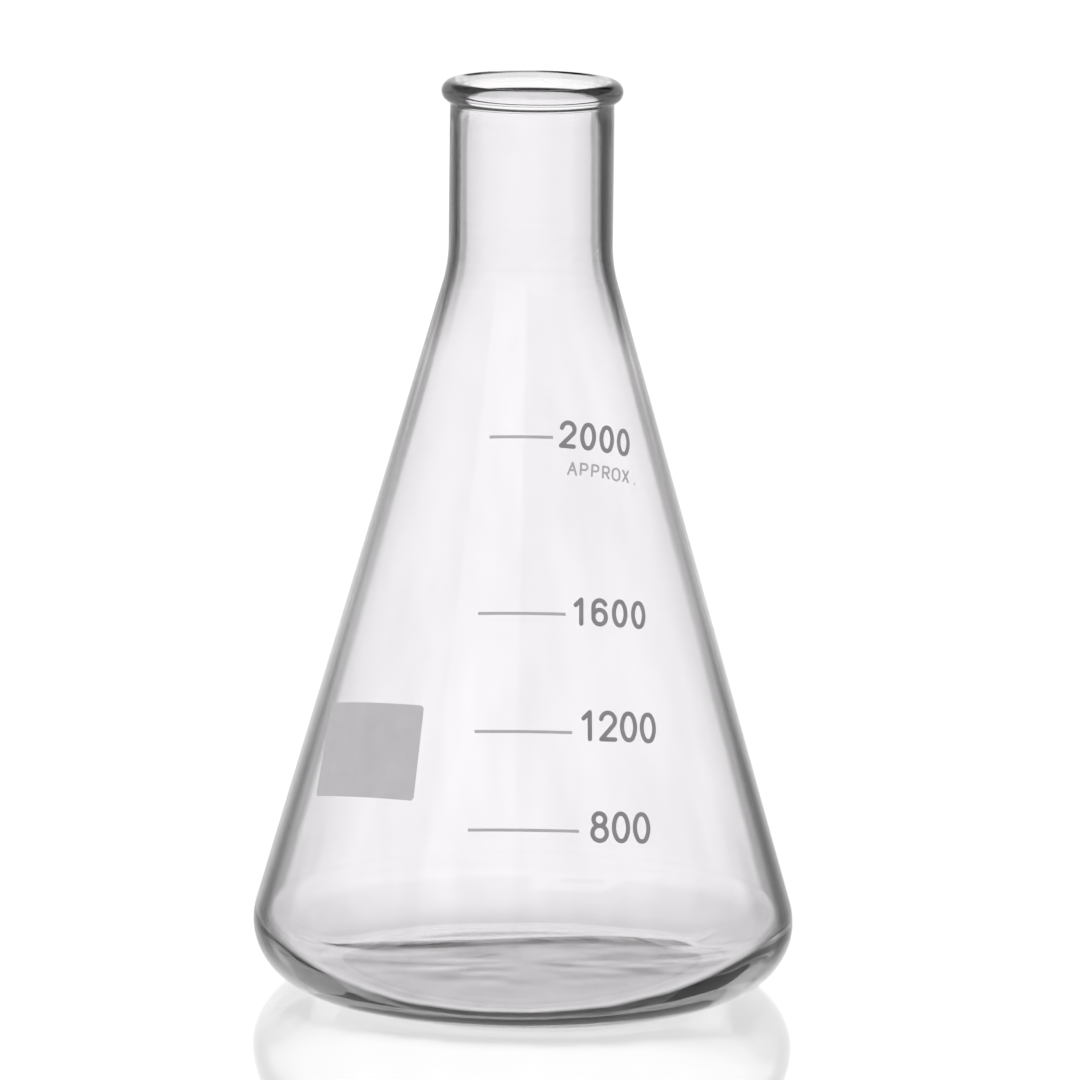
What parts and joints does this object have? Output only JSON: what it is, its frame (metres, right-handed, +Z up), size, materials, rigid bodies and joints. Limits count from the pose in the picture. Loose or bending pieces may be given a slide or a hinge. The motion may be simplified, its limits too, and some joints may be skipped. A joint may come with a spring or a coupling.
{
  "type": "erlenmeyer flask",
  "caption": "Large narrow-neck conical glass flask with a beaded rim, a rounded heel, grey graduation marks and a grey marking panel.",
  "frame": {"origin": "centre of the base on the plane that the flask stands on", "axes": "+Z up along the flask's axis to its mouth; the graduations face -Y; +X to the right of a reader facing them"},
  "size_m": [0.166, 0.1659, 0.28],
  "materials": {
    "clear_glass": "clear, fire-polished",
    "enamel_numerals": "fired enamel, satin",
    "enamel_lines": "fired enamel, satin",
    "enamel_panel": "fired enamel, matt"
  },
  "bodies": {
    "root": {"glass_flask": "clear_glass", "graduation_line_2000": "enamel_lines", "graduation_line_1600": "enamel_lines", "graduation_line_1200": "enamel_lines", "graduation_line_800": "enamel_lines", "numeral_2000": "enamel_numerals", "numeral_1600": "enamel_numerals", "numeral_1200": "enamel_numerals", "numeral_800": "enamel_numerals", "approx_legend": "enamel_lines", "marking_panel": "enamel_panel"}
  },
  "joints": []
}
